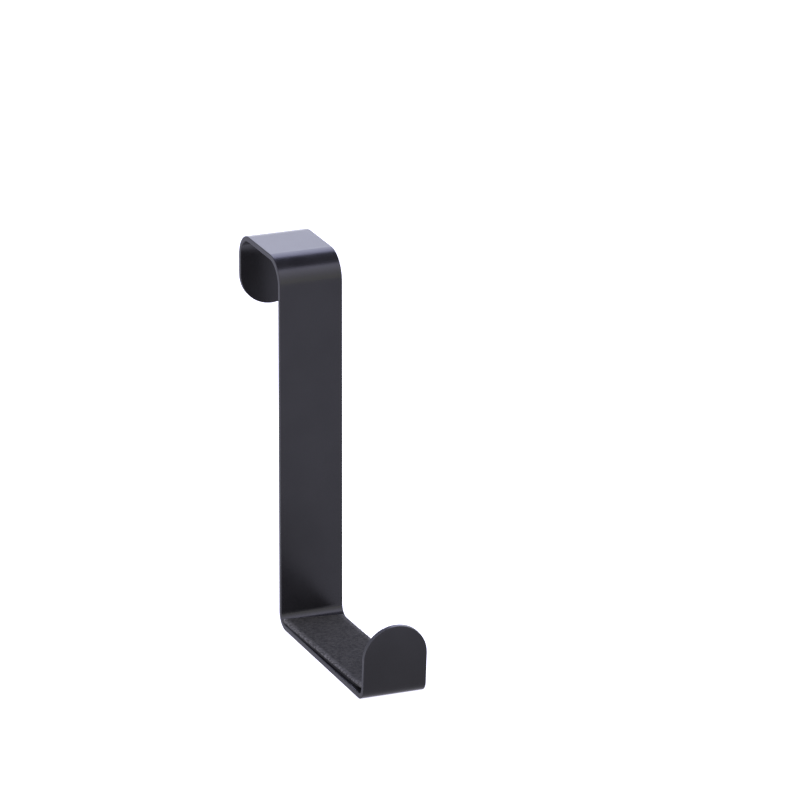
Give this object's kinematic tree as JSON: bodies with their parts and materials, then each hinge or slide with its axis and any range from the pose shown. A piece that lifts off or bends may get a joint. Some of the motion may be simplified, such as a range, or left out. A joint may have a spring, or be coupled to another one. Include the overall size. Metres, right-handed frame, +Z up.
{
  "type": "over door hook",
  "caption": "Bent flat steel strip that hooks over a door's top edge, with a long shank and an upturned padded arm to hang things on.",
  "frame": {"origin": "middle of the underside of the top arm, where the hook sits on the door's top edge", "axes": "X across the strip, -Y from the door into the room along the arm, +Z up along the shank"},
  "size_m": [0.025, 0.1267, 0.145],
  "materials": {
    "black_coat": "satin black baked coating on mild steel",
    "grey_felt": "dark grey short-pile felt"
  },
  "bodies": {
    "root": {"bent_strip": "black_coat", "arm_pad": "grey_felt"}
  },
  "joints": []
}
